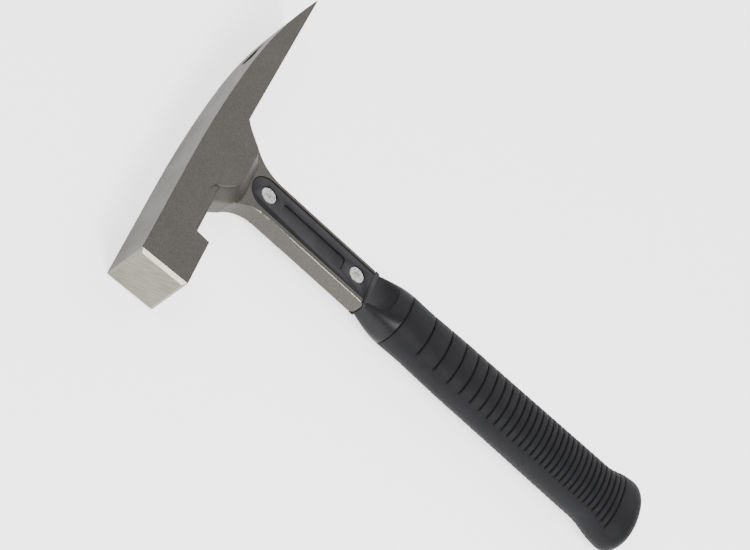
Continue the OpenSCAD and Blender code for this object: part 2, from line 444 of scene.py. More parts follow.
class Recipe:
    """A node tree under construction: a shader with a few helpers for patterns on it."""

    def __init__(self, name: str) -> None:
        """Starts a material.

        Args:
            name: Name of the material.
        """
        self.material = bpy.data.materials.new(name)
        self.material.use_nodes = True
        self.tree = self.material.node_tree
        self.shader = self.tree.nodes["Principled BSDF"]
        self.place = self.tree.nodes.new("ShaderNodeTexCoord").outputs["Object"]

    def node(self, kind: str, **settings: object) -> bpy.types.Node:
        """Adds a node and sets its own settings."""
        made = self.tree.nodes.new(kind)
        for key, value in settings.items():
            setattr(made, key, value)
        return made

    def wire(self, source: Socket, target: Socket) -> None:
        """Links an output to an input."""
        self.tree.links.new(source, target)

    def set(self, **sockets: object) -> None:
        """Sets constants on the shader, with underscores for the spaces in a socket's name."""
        for key, value in sockets.items():
            socket = key.replace("_", " ").title().replace("Ior", "IOR")
            self.shader.inputs[socket].default_value = value

    def stretched(self, size: Triple, turn: float) -> Socket:
        """Returns object coordinates turned about X, then stretched along the axes.

        Args:
            size: Size of the pattern's unit along each axis, in millimetres.
            turn: Turn about X, in degrees.
        """
        mapping = self.node("ShaderNodeMapping", vector_type="TEXTURE")
        mapping.inputs["Rotation"].default_value = (math.radians(turn), 0, 0)
        mapping.inputs["Scale"].default_value = [s * MM for s in size]
        self.wire(self.place, mapping.inputs["Vector"])
        return mapping.outputs["Vector"]

    def noise(self, pitch: float, detail: float = 2.0, vector: Socket | None = None) -> Socket:
        """Returns a noise from 0 to 1.

        Args:
            pitch: Size of its lumps, in millimetres, or 1 on stretched coordinates.
            detail: Octaves of finer noise.
            vector: Coordinates, if not the piece's own.
        """
        noise = self.node("ShaderNodeTexNoise")
        noise.inputs["Scale"].default_value = 1 / (pitch * MM) if vector is None else pitch
        noise.inputs["Detail"].default_value = detail
        self.wire(vector or self.place, noise.inputs["Vector"])
        return noise.outputs["Fac"]

    def grain(self, pitch: float) -> Socket:
        """Returns the distance to the nearest of many scattered grains.

        Args:
            pitch: Spacing of the grains, in millimetres.
        """
        cells = self.node("ShaderNodeTexVoronoi")
        cells.inputs["Scale"].default_value = 1 / (pitch * MM)
        self.wire(self.place, cells.inputs["Vector"])
        return cells.outputs["Distance"]

    def spread(
        self, source: Socket, low: float, high: float, start: float = 0.3, end: float = 0.7
    ) -> Socket:
        """Maps a pattern onto a range of values.

        Args:
            source: The pattern.
            low: Value at the pattern's start.
            high: Value at the pattern's end.
            start: Pattern value that gives low.
            end: Pattern value that gives high.
        """
        ramp = self.node("ShaderNodeMapRange")
        limits = {"From Min": start, "From Max": end, "To Min": low, "To Max": high}
        for key, value in limits.items():
            ramp.inputs[key].default_value = value
        self.wire(source, ramp.inputs["Value"])
        return ramp.outputs["Result"]

    def blend(self, share: Socket, first: Colour | Socket, second: Colour | Socket) -> Socket:
        """Mixes two colours by a pattern.

        Args:
            share: Share of the second colour.
            first: First colour, or the socket that gives it.
            second: Second colour, or the socket that gives it.
        """
        mixer = self.node("ShaderNodeMix", data_type="RGBA")
        self.wire(share, mixer.inputs[MIX_SHARE])
        for place, colour in ((MIX_FIRST, first), (MIX_SECOND, second)):
            if isinstance(colour, Socket):
                self.wire(colour, mixer.inputs[place])
            else:
                mixer.inputs[place].default_value = (*colour, 1)
        return mixer.outputs[MIX_RESULT]

    def dress(self, colour: Socket, pattern: Socket, roughness: Pair) -> None:
        """Wires the shader's colour, and a roughness that follows a pattern.

        Args:
            colour: The colour.
            pattern: The pattern.
            roughness: Roughness at the pattern's start and end.
        """
        self.wire(colour, self.shader.inputs["Base Color"])
        self.wire(self.spread(pattern, *roughness), self.shader.inputs["Roughness"])

    def emboss(
        self, height: Socket, depth: float, strength: float, under: Socket | None = None
    ) -> Socket:
        """Adds a bump to the shader.

        Args:
            height: The pattern, from 0 to 1.
            depth: Depth of the pattern, in millimetres.
            strength: Share of the bump that shows.
            under: A bump that this one goes on.

        Returns:
            The bump's normal, for another bump on top.
        """
        bump = self.node("ShaderNodeBump")
        bump.inputs["Distance"].default_value = depth * MM
        bump.inputs["Strength"].default_value = strength
        self.wire(height, bump.inputs["Height"])
        if under is not None:
            self.wire(under, bump.inputs["Normal"])
        self.wire(bump.outputs["Normal"], self.shader.inputs["Normal"])
        return bump.outputs["Normal"]


@dataclass(frozen=True)
class BlastedSteel:
    """Forged steel, blasted to an even warm grey with a fine grain."""

    dark: Colour = srgb(91, 88, 84)
    light: Colour = srgb(101, 99, 95)
    pit: Colour = srgb(67, 64, 60)
    pit_share: float = 0.6
    grain: float = 0.55
    ripple: float = 3.0
    patch: float = 14.0
    detail: float = 3.0
    grain_relief: Pair = (0.05, 0.55)
    ripple_relief: Pair = (0.05, 0.3)
    roughness: Pair = (0.54, 0.66)

    def make(self) -> bpy.types.Material:
        """Returns the finish as a material."""
        recipe = Recipe("blasted_steel")
        recipe.set(metallic=1.0)
        fine = recipe.noise(self.grain, self.detail)
        broad = recipe.noise(self.patch, self.detail)
        tone = recipe.blend(recipe.spread(broad, 0, 1), self.dark, self.light)
        speckle = recipe.blend(recipe.spread(fine, 0, self.pit_share), tone, self.pit)
        recipe.dress(speckle, broad, self.roughness)
        first = recipe.emboss(fine, *self.grain_relief)
        recipe.emboss(recipe.noise(self.ripple), *self.ripple_relief, first)
        return recipe.material


@dataclass(frozen=True)
class GroundSteel:
    """Steel ground with a fine wheel, so that its scratches all run one way."""

    dark: Colour = srgb(100, 97, 87)
    light: Colour = srgb(136, 133, 122)
    patch: float = 7.0
    patch_share: float = 0.3
    strokes: Triple = (0.5, 9.0, 0.32)
    turn: float = -23.0
    scratch: Pair = (1.0, 4.0)
    hairline: Pair = (3.0, 3.0)
    scratch_relief: Pair = (0.05, 0.7)
    hairline_relief: Pair = (0.015, 0.4)
    roughness: Pair = (0.28, 0.42)

    def make(self) -> bpy.types.Material:
        """Returns the finish as a material."""
        recipe = Recipe("ground_steel")
        recipe.set(metallic=1.0)
        scratches = recipe.noise(*self.scratch, recipe.stretched(self.strokes, self.turn))
        fine = recipe.noise(*self.hairline, recipe.stretched(self.strokes, self.turn))
        tone = recipe.blend(recipe.spread(scratches, 0, 1), self.dark, self.light)
        dull = recipe.spread(recipe.noise(self.patch), 0, self.patch_share)
        recipe.dress(recipe.blend(dull, tone, self.dark), scratches, self.roughness)
        first = recipe.emboss(scratches, *self.scratch_relief)
        recipe.emboss(fine, *self.hairline_relief, first)
        return recipe.material


@dataclass(frozen=True)
class MouldedNylon:
    """Dark moulded plastic with a satin sheen and a faint mould texture."""

    dark: Colour = srgb(21, 21, 24)
    light: Colour = srgb(31, 31, 34)
    specular: float = 0.17
    grain: float = 0.35
    patch: float = 9.0
    relief: Pair = (0.02, 0.35)
    roughness: Pair = (0.36, 0.46)

    def make(self) -> bpy.types.Material:
        """Returns the finish as a material."""
        recipe = Recipe("moulded_nylon")
        recipe.set(specular_ior_level=self.specular)
        fine = recipe.noise(self.grain)
        broad = recipe.noise(self.patch)
        tone = recipe.blend(recipe.spread(broad, 0, 1), self.dark, self.light)
        recipe.dress(tone, fine, self.roughness)
        recipe.emboss(fine, *self.relief)
        return recipe.material


@dataclass(frozen=True)
class GripRubber:
    """Soft black rubber with the fine grain of a spark-eroded mould."""

    dark: Colour = srgb(22, 22, 25)
    light: Colour = srgb(31, 31, 34)
    specular: float = 0.14
    grain: float = 0.42
    grain_share: float = 0.45
    grain_span: Pair = (0.1, 0.7)
    patch: Pair = (11.0, 3.0)
    patch_share: float = 0.6
    relief: Pair = (0.06, 0.5)
    roughness: Pair = (0.55, 0.72)

    def make(self) -> bpy.types.Material:
        """Returns the finish as a material."""
        recipe = Recipe("grip_rubber")
        recipe.set(specular_ior_level=self.specular)
        grain = recipe.grain(self.grain)
        broad = recipe.spread(recipe.noise(*self.patch), 0, self.patch_share)
        tone = recipe.blend(broad, self.dark, self.light)
        pale = recipe.spread(grain, 0, self.grain_share, *self.grain_span)
        recipe.dress(recipe.blend(pale, tone, self.light), grain, self.roughness)
        recipe.emboss(grain, *self.relief)
        return recipe.material


@dataclass(frozen=True)
class RivetSteel:
    """Bright steel, pressed by a rough punch."""

    dark: Colour = srgb(158, 159, 155)
    light: Colour = srgb(204, 205, 200)
    mark: Colour = srgb(112, 112, 109)
    grain: Pair = (0.5, 3.0)
    mark_pitch: float = 0.75
    mark_share: float = 0.75
    mark_span: Pair = (0.35, 0.75)
    relief: Pair = (0.03, 0.5)
    roughness: Pair = (0.34, 0.5)

    def make(self) -> bpy.types.Material:
        """Returns the finish as a material."""
        recipe = Recipe("rivet_steel")
        recipe.set(metallic=1.0)
        fine = recipe.noise(*self.grain)
        tone = recipe.blend(recipe.spread(fine, 0, 1), self.dark, self.light)
        marks = recipe.spread(recipe.grain(self.mark_pitch), 0, self.mark_share, *self.mark_span)
        recipe.dress(recipe.blend(marks, tone, self.mark), fine, self.roughness)
        recipe.emboss(fine, *self.relief)
        return recipe.material


@dataclass(frozen=True)
class FloorPaint:
    """Plain pale floor, lit from within like a light table."""

    tone: Colour = (0.9, 0.9, 0.9)
    roughness: float = 0.9
    glow: float = 1.9

    def make(self) -> bpy.types.Material:
        """Returns the finish as a material."""
        recipe = Recipe("floor_paint")
        recipe.set(roughness=self.roughness, base_color=(*self.tone, 1))
        recipe.set(emission_color=(1, 1, 1, 1), emission_strength=self.glow)
        return recipe.material


# ---- Head ----


@dataclass
class Head:
    """The forging: poll, bar, boss, chisel blade and neck. Sizes are in millimetres."""

    place: Place
    steel: bpy.types.Material
    ground: bpy.types.Material
    length: float = 202.0
    thickness: float = 25.0
    edge_round: float = 0.45
    edge_angle: float = 50.0
    smooth_angle: float = 32.0

    poll_length: float = 31.0
    poll_lean: Point2 = (0.5, 0.6)
    face_cant: float = 3.2
    face_chamfer: float = 1.5
    face_facing: float = 0.3
    grind_over: float = 0.1

    top_straight: float = 61.0
    top_arc: Point2 = (800.0, 75.5)
    top_steps: tuple[int, int] = (16, 18)
    tip_radius: float = 310.0
    tip_trim: float = 0.15
    edge_flat: float = 0.4
    blade_depth: float = 15.2
    blade_heel: Point2 = (111.0, 99.0)

    bar_depth: float = 19.0
    bar_round: float = 3.2
    keel_runs: Point2 = (29.0, 66.0)
    keel_top: float = 8.0
    keel_slope: float = 8.0
    step: float = 0.75
    step_line: tuple[Point2, ...] = (
        (64.0, 15.2), (60.6, 15.5), (58.4, 14.6), (54.7, 13.7),
        (50.0, 13.1), (44.0, 13.4), (36.0, 14.5), (33.0, 15.1),
    )

    boss_flat: tuple[Point2, ...] = (
        (58.5, 6.0), (56.0, 13.2), (60.6, 15.5), (63.0, 18.4), (65.5, 21.4), (68.5, 23.8),
        (72.0, 25.4), (76.0, 26.0), (95.5, 26.0), (103.0, 18.0), (109.5, 13.0), (109.5, 6.0),
    )
    boss_foot: tuple[Point2, ...] = (
        (58.5, 6.0), (53.0, 17.5), (58.9, 20.0), (61.9, 23.2), (65.4, 27.2), (68.6, 29.6),
        (72.0, 31.4), (76.0, 32.0), (97.0, 31.4), (105.4, 25.4), (114.6, 15.4), (114.6, 6.0),
    )
    cap_round: float = 1.2
    cap_round_top: float = 17.0
    stub_end: float = 60.0
    skin: float = 0.03
    voxel: float = 0.42
    smoothing: int = 34
    smoothing_factor: float = 0.5
    smoothing_span: Point2 = (38.0, 44.0)

    neck_front: float = 75.45
    neck_back: float = 97.75
    neck_thickness: float = 9.4
    neck_roots: tuple[Point2, ...] = ((108.0, 14.0), (62.0, 14.0))
    neck_plain: float = 20.0
    neck_end: float = 105.5
    neck_round: float = 3.0
    neck_edge: float = 0.7
    neck_edge_angle: float = 60.0
    curve_depth: float = 46.0
    curve_steps: int = 14
    throat_radius: float = 22.0
    throat_sweep: float = 56.0
    back_radius: float = 24.0
    back_sweep: float = 53.0
    # Painted highlight on the neck's front edges: the depth where it starts, its width from the front, and
    # how far its faces turn to the front and to the side.
    highlight_top: float = 29.0
    highlight_width: float = 2.0
    highlight_facing: float = 0.35

    web: float = 3.6
    front_rim: float = 2.4
    back_rim: float = 1.9
    pocket_top: float = 32.3
    pocket_end: float = 125.0
    pocket_steps: int = 24

    slot_run: float = 152.5
    slot_radius: float = 4.2
    slot_length: float = 15.0
    slot_tip: float = 0.7
    slot_steps: tuple[int, int] = (28, 6)

    def build(self) -> bpy.types.Object:
        """Makes the head and dresses it.

        Returns:
            The finished head.
        """
        head = self._bar()
        for part in (self._shoulders(), self._cap(), self._neck()):
            combine(head, part, "UNION")
        for side in Side:
            combine(head, self._pocket(side), "DIFFERENCE")
        combine(head, self._nail_slot(), "DIFFERENCE")
        heal(head, SEAM_WELD)
        shade(head, self.smooth_angle)
        apply_modifier(head, "WEIGHTED_NORMAL", keep_sharp=True)
        fit_out(head, ["head"], [self.steel, self.ground])
        self._grind(head)
        return head

    @property
    def cant(self) -> float:
        """Returns how far the striking face leans back at its lower edge."""
        return self.thickness * math.tan(math.radians(self.face_cant))

    def top_line(self) -> list[Point2]:
        """Returns the top of the bar and blade, from the striking face to the chisel edge."""
        radius, run = self.top_arc
        turned = math.degrees(math.asin(run / radius))
        sine, cosine = math.sin(math.radians(turned)), math.cos(math.radians(turned))
        centre = (
            self.top_straight + run - self.tip_radius * sine,
            radius * (1 - cosine) + self.tip_radius * cosine,
        )
        end = math.degrees(math.acos((self.length - self.tip_trim - centre[0]) / self.tip_radius))
        first = arc((self.top_straight, radius), radius, 90, 90 - turned, self.top_steps[0])
        second = arc(centre, self.tip_radius, 90 - turned, end, self.top_steps[1])
        return [(0.0, 0.0)] + first + second[1:]

    def _bar(self) -> bpy.types.Object:
        """Makes the crisp part of the forging: poll, bar and blade, at full thickness."""
        half = self.thickness / 2
        top = self.top_line()
        lean, drop = self.poll_lean
        low = [
            (self.length - self.tip_trim, top[-1][1] + self.edge_flat),
            *((run, self.blade_depth) for run in self.blade_heel),
            *self.step_line,
            (self.poll_length, self.step_line[-1][1] + drop),
            (self.poll_length - lean, self.thickness),
            (self.cant, self.thickness),
        ]
        bar = slab("hammer_head", self.place, top + low, -half, half)
        self._chamfer_poll(bar)
        sharp = math.radians(self.edge_angle)
        bevel(bar, self.edge_round, 3, lambda e: e.calc_face_angle(0) > sharp)
        combine(bar, self._keel(), "UNION")
        return bar

    def _keel(self) -> bpy.types.Object:
        """Makes the rounded underside of the bar, set in a little from its sides."""
        half = self.thickness / 2 - self.step
        start, end = self.keel_runs
        outline = [
            (start, self.keel_top), (end + self.keel_slope, self.keel_top),
            (end + self.keel_slope, self.blade_depth), (end, self.bar_depth), (start, self.bar_depth),
        ]
        keel = slab("keel", self.place, outline, -half, half)
        low = self.place.at(0, (self.blade_depth + self.bar_depth) / 2).y

        def is_lower_edge(edge: bmesh.types.BMEdge) -> bool:
            """Says whether an edge runs along the underside."""
            a, b = (v.co for v in edge.verts)
            return min(a.y, b.y) < low and abs(a.x - b.x) > MM and abs(a.z - b.z) < WELD

        bevel(keel, self.bar_round, 10, is_lower_edge)
        return keel

    def _chamfer_poll(self, bar: bpy.types.Object) -> None:
        """Grinds the chamfer round the striking face."""
        edge = self.place.at(self.cant, 0).x
        with editing(bar):
            pick(bar, "FACE", lambda f: f.normal.x < -0.9 and f.calc_center_median().x < edge)
            bpy.ops.mesh.region_to_loop()
            bpy.ops.mesh.bevel(offset=self.face_chamfer * MM, segments=1, clamp_overlap=True)

    def _shoulders(self) -> bpy.types.Object:
        """Makes the boss with the smooth shoulders that lead in to the neck."""
        boss = self._boss()
        combine(boss, self._neck_plate(self.stub_end, self.skin), "UNION")
        apply_modifier(boss, "REMESH", mode="VOXEL", voxel_size=self.voxel * MM, use_smooth_shade=True)
        group = boss.vertex_groups.new(name="shoulders")
        full, end = (self.place.at(0, depth).y for depth in self.smoothing_span)
        for vertex in boss.data.vertices:
            share = smooth_step((vertex.co.y - end) / (full - end))
            if share > 0:
                group.add([vertex.index], share, "REPLACE")
        apply_modifier(
            boss, "SMOOTH", factor=self.smoothing_factor, iterations=self.smoothing,
            vertex_group=group.name,
        )
        return boss

    def _cap(self) -> bpy.types.Object:
        """Makes the boss's flat sides, which stand out from its shoulders by a small step."""
        half = self.thickness / 2
        cap = slab("cap", self.place, self.boss_flat, -half, half)
        low = self.place.at(0, self.cap_round_top).y
        bevel(cap, self.cap_round, 3, lambda e: max(v.co.y for v in e.verts) < low
              and abs(e.verts[0].co.z - e.verts[1].co.z) > MM)
        return cap

    def _boss(self) -> bpy.types.Object:
        """Makes the thick boss, whose shoulders slope in to the neck's thickness."""
        half, slim = self.thickness / 2 - self.step, self.neck_thickness / 2
        sections = (
            (self.boss_flat, -half), (self.boss_foot, -slim), (self.boss_foot, slim), (self.boss_flat, half)
        )
        return loft("boss", [[self.place.at(*point, out) for point in line] for line, out in sections])

    def _neck_plate(self, end: float, skin: float = 0.0) -> bpy.types.Object:
        """Makes the plain neck plate, with its throat curve and its back curve.

        Args:
            end: Depth of its lower end.
            skin: How far its flat sides are drawn in.
        """
        throat, back = self.throat_radius, self.back_radius
        side = [
            *arc((self.neck_front - throat, self.curve_depth), throat - skin,
                 self.throat_sweep, 0, self.curve_steps),
            (self.neck_front + skin, end),
            (self.neck_back - skin, end),
            *arc((self.neck_back + back, self.curve_depth), back + skin,
                 180, 180 - self.back_sweep, self.curve_steps),
            *self.neck_roots,
        ]
        half = self.neck_thickness / 2 - skin
        return slab("neck", self.place, side, -half, half)

    def _neck(self) -> bpy.types.Object:
        """Makes the neck plate with its rounded end and its small edge radii."""
        neck = self._neck_plate(self.neck_end)
        end = self.place.at(0, self.neck_end - self.neck_round / 2).y
        top = self.place.at(0, self.neck_plain).y
        sharp = math.radians(self.neck_edge_angle)

        def is_end_edge(edge: bmesh.types.BMEdge) -> bool:
            """Says whether an edge lies along the neck's end."""
            a, b = (v.co for v in edge.verts)
            return max(a.y, b.y) < end and abs(a.z - b.z) < WELD

        def is_long_edge(edge: bmesh.types.BMEdge) -> bool:
            """Says whether an edge runs round the neck's outline."""
            a, b = (v.co for v in edge.verts)
            across = abs(a.z - b.z) > self.neck_thickness / 2 * MM
            return min(a.y, b.y) < top and edge.calc_face_angle(0) > sharp and not across

        bevel(neck, self.neck_round, 8, is_end_edge)
        bevel(neck, self.neck_edge, 4, is_long_edge)
        return neck

    def pocket_outline(self, inset: float, end: float) -> list[Point2]:
        """Returns the outline of a pocket in the neck.

        Args:
            inset: Distance that the outline is drawn in.
            end: Depth of its open lower end.
        """
        front = self.neck_front + self.front_rim + inset
        back = self.neck_back - self.back_rim - inset
        radius = (back - front) / 2
        centre = ((front + back) / 2, self.pocket_top + inset + radius)
        return arc(centre, radius, 180, 0, self.pocket_steps) + [(back, end), (front, end)]

    def _pocket(self, side: Side) -> bpy.types.Object:
        """Makes the cutter for the pocket on one side of the neck."""
        floor = self.web / 2 * side.value
        outline = self.pocket_outline(0, self.pocket_end)
        return slab("pocket", self.place, outline, floor, floor + CLEAR * side.value)

    def _nail_slot(self) -> bpy.types.Object:
        """Makes the cutter for the teardrop slot: a round end that tapers to a narrow one."""
        lean = math.degrees(math.acos((self.slot_radius - self.slot_tip) / self.slot_length))
        tip = self.slot_run + self.slot_length
        round_steps, tip_steps = self.slot_steps
        outline = arc((self.slot_run, 0), self.slot_radius, lean, 360 - lean, round_steps)
        outline += arc((tip, 0), self.slot_tip, -lean, lean, tip_steps)
        points = [self.place.at(run, -CLEAR / 2, across) for run, across in outline]
        return prism("slot", points, Vector((0, -2 * CLEAR * MM, 0)))

    def _grind(self, head: bpy.types.Object) -> None:
        """Gives the striking face and its chamfer the ground finish, and paints a highlight on the neck's
        front edges with the same lighter finish.
        """
        reach = self.place.at(self.face_chamfer + self.cant + self.grind_over, 0).x
        rim = self.place.at(self.neck_front + self.highlight_width, 0).x
        throat = self.place.at(0, self.highlight_top).y
        for polygon in head.data.polygons:
            centre, normal = polygon.center, polygon.normal
            struck = centre.x < reach and normal.x < -self.face_facing
            # Painted highlight: the neck's rounded front edges below the throat take the lighter ground
            # finish, standing in for the bright line of light along them.
            edge_highlight = (
                centre.y < throat and centre.x < rim
                and normal.x < -self.highlight_facing and abs(normal.z) > self.highlight_facing
            )
            polygon.material_index = int(struck or edge_highlight)


# ---- Core ----


@dataclass
class Core:
    """The moulded core: two cheeks, the collar and the tang. Sizes are in millimetres."""

    place: Place
    head: Head
    nylon: bpy.types.Material
    gap: float = 0.28
    centre: float = 86.6
    sides: int = 96
    edge_round: float = 0.22
    edge_angle: float = 40.0
    smooth_angle: float = 32.0

    end_gap: float = 0.25
    grip_top: float = 123.5
    top_half: Point2 = (14.4, 11.8)
    neck_half: Point2 = (11.1, 4.69)
    powers: Pair = (7.0, 2.2)
    side_growth: float = 0.9
    ease: float = 0.2
    collar_drift: float = 0.6
    collar_rings: int = 24
    lip: float = 0.5
    lip_rings: tuple[Pair, ...] = ((0.3, 0.05), (0.12, 0.25), (0.0, 0.75), (-0.3, 1.3))

    bed_inset: Pair = (0.1, 0.01)
    bed_over: float = 0.6
    bed_top: float = 90.0
    bed_runs: Point2 = (70.0, 110.0)
    bed_steps: int = 10

    tang_size: Triple = (18.0, 146.0, 12.0)
    tang_at: Point2 = (87.4, 195.0)
    tang_round: float = 4.0

    cheek_out: float = 4.4
    cheek_over: float = 3.0
    panel_end: float = 116.8
    panel_lean: float = 22.0
    panel_radius: float = 30.0
    panel_shift: float = 2.0
    panel_over: float = 3.0
    panel_steps: int = 16

    seat_radius: float = 4.35
    seat_depth: float = 0.5
    seat_sides: int = 48
    cutter: float = 5.0
    label: tuple[float, float, float, float] = (81.6, 90.2, 50.5, 88.0)
    label_depth: float = 0.6
    label_round: float = 1.6

    def build(self) -> bpy.types.Object:
        """Makes the core and dresses it.

        Returns:
            The finished core.
        """
        core = self._collar()
        for part in (self._bed(), self._tang()):
            combine(core, part, "UNION")
        for side in Side:
            combine(core, self._panel_cutter(side), "DIFFERENCE")
        for side in Side:
            combine(core, self._cheek(side), "UNION")
        for side in Side:
            combine(core, self._label_cutter(side), "DIFFERENCE")
            for run, depth in RIVETS.values():
                combine(core, self._seat_cutter(run, depth, side), "DIFFERENCE")
        heal(core, SEAM_WELD)
        soften(core, self.edge_round, self.edge_angle, 2)
        shade(core, self.smooth_angle)
        fit_out(core, ["handle_core"], [self.nylon])
        return core

    def _ring(self, depth: float, run: float, half: Pair, power: float) -> list[Vector]:
        """Returns one squared oval across the handle.

        Args:
            depth: Depth of the oval's plane.
            run: Place of its centre.
            half: Half its width and half its thickness.
            power: 2 for an ellipse, more for a squarer oval.
        """
        turns = (math.tau * i / self.sides for i in range(self.sides))
        return [oval_point(self.place, (run, depth), half, turn, power) for turn in turns]

    def _collar(self) -> bpy.types.Object:
        """Makes the collar, from the neck's end to the edge of the grip."""
        start, end = self.head.neck_end + self.end_gap, self.grip_top
        (neck_width, neck_thick), (width, thick) = self.neck_half, self.top_half
        low_centre = self.centre + self.collar_drift
        rings = []
        for i in range(self.collar_rings + 1):
            grow = i / self.collar_rings * (1 - self.lip / (end - start))
            curve = mix(grow, smooth_step(grow), self.ease)
            half = (mix(neck_width, width, curve), mix(neck_thick, thick, grow ** self.side_growth))
            rings.append(self._ring(mix(start, end, grow), mix(self.centre, low_centre, curve),
                                    half, mix(*self.powers, math.sqrt(grow))))
        for ahead, inset in self.lip_rings:
            half = (width - inset, thick - inset)
            rings.append(self._ring(end - ahead, low_centre, half, self.powers[1]))
        return loft("hammer_core", rings)

    def _bed(self) -> bpy.types.Object:
        """Makes the corners of the collar that fill in round the neck's rounded end."""
        head, (inset, shy) = self.head, self.bed_inset
        half = head.neck_thickness / 2 - shy
        top, low = head.neck_end - head.neck_round, head.neck_end + self.bed_over
        front, back = head.neck_front + inset, head.neck_back - inset
        bed = slab("bed", self.place, [(front, top), (back, top), (back, low), (front, low)], -half, half)
        radius = head.neck_round + self.end_gap
        wide = head.neck_thickness / 2 + self.end_gap
        depth = head.neck_end + self.end_gap - radius
        outline = [
            (-wide, self.bed_top), (wide, self.bed_top),
            *arc((wide - radius, depth), radius, 0, -90, self.bed_steps),
            *arc((radius - wide, depth), radius, -90, -180, self.bed_steps),
        ]
        start, end = self.bed_runs
        room = prism("room", [self.place.at(start, d, out) for out, d in outline],
                     Vector(((end - start) * MM, 0, 0)))
        combine(bed, room, "DIFFERENCE")
        return bed

    def _tang(self) -> bpy.types.Object:
        """Makes the tang that runs down inside the grip."""
        clear_selection()
        bpy.ops.mesh.primitive_cube_add(
            size=1, location=self.place.at(*self.tang_at), scale=[s * MM for s in self.tang_size]
        )
        tang = settle(bpy.context.object)
        bevel(tang, self.tang_round, 6, lambda e: abs(e.verts[0].co.y - e.verts[1].co.y) > CLEAR * MM)
        return tang

    def _panel_cutter(self, side: Side) -> bpy.types.Object:
        """Makes the cutter that leaves the collar's flat side panel."""
        head, radius = self.head, self.panel_radius
        front, back = head.neck_front + head.front_rim, head.neck_back + self.panel_over
        centre = (self.centre + self.panel_shift, self.panel_end - radius)
        low_front, low_back = (
            math.degrees(math.acos((run - centre[0]) / radius)) for run in (front, back)
        )
        start = head.neck_end + self.end_gap
        rise = math.tan(math.radians(self.panel_lean))
        outline = [(front, start), (back, start)]
        outline += arc(centre, radius, -low_back, -low_front, self.panel_steps)
        points = [
            self.place.at(r, d, (self.cheek_out + (d - start) * rise) * side.value) for r, d in outline
        ]
        return prism("panel", points, Vector((0, 0, CLEAR * MM * side.value)))

    def _cheek(self, side: Side) -> bpy.types.Object:
        """Makes the cheek that fills one of the neck's pockets."""
        outline = self.head.pocket_outline(self.gap, self.head.neck_end + self.cheek_over)
        floor = self.head.web / 2
        return slab("cheek", self.place, outline, floor * side.value, self.cheek_out * side.value)

    def _label_cutter(self, side: Side) -> bpy.types.Object:
        """Makes the cutter for the shallow bare label recess."""
        front, back, top, low = self.label
        r = self.label_round
        corners = ((front + r, top + r), (back - r, top + r), (back - r, low - r), (front + r, low - r))
        outline = []
        for i, corner in enumerate(corners):
            outline += arc(corner, r, 180 - 90 * i, 90 - 90 * i, 4)
        floor = (self.cheek_out - self.label_depth) * side.value
        return slab("label", self.place, outline, floor, floor + self.cutter * side.value)

    def _seat_cutter(self, run: float, depth: float, side: Side) -> bpy.types.Object:
        """Makes the cutter for one rivet's seat."""
        out = (self.cheek_out - self.seat_depth + self.cutter / 2) * side.value
        clear_selection()
        bpy.ops.mesh.primitive_cylinder_add(
            vertices=self.seat_sides, radius=self.seat_radius * MM, depth=self.cutter * MM,
            location=self.place.at(run, depth, out),
        )
        return settle(bpy.context.object)


# ---- Grip ----


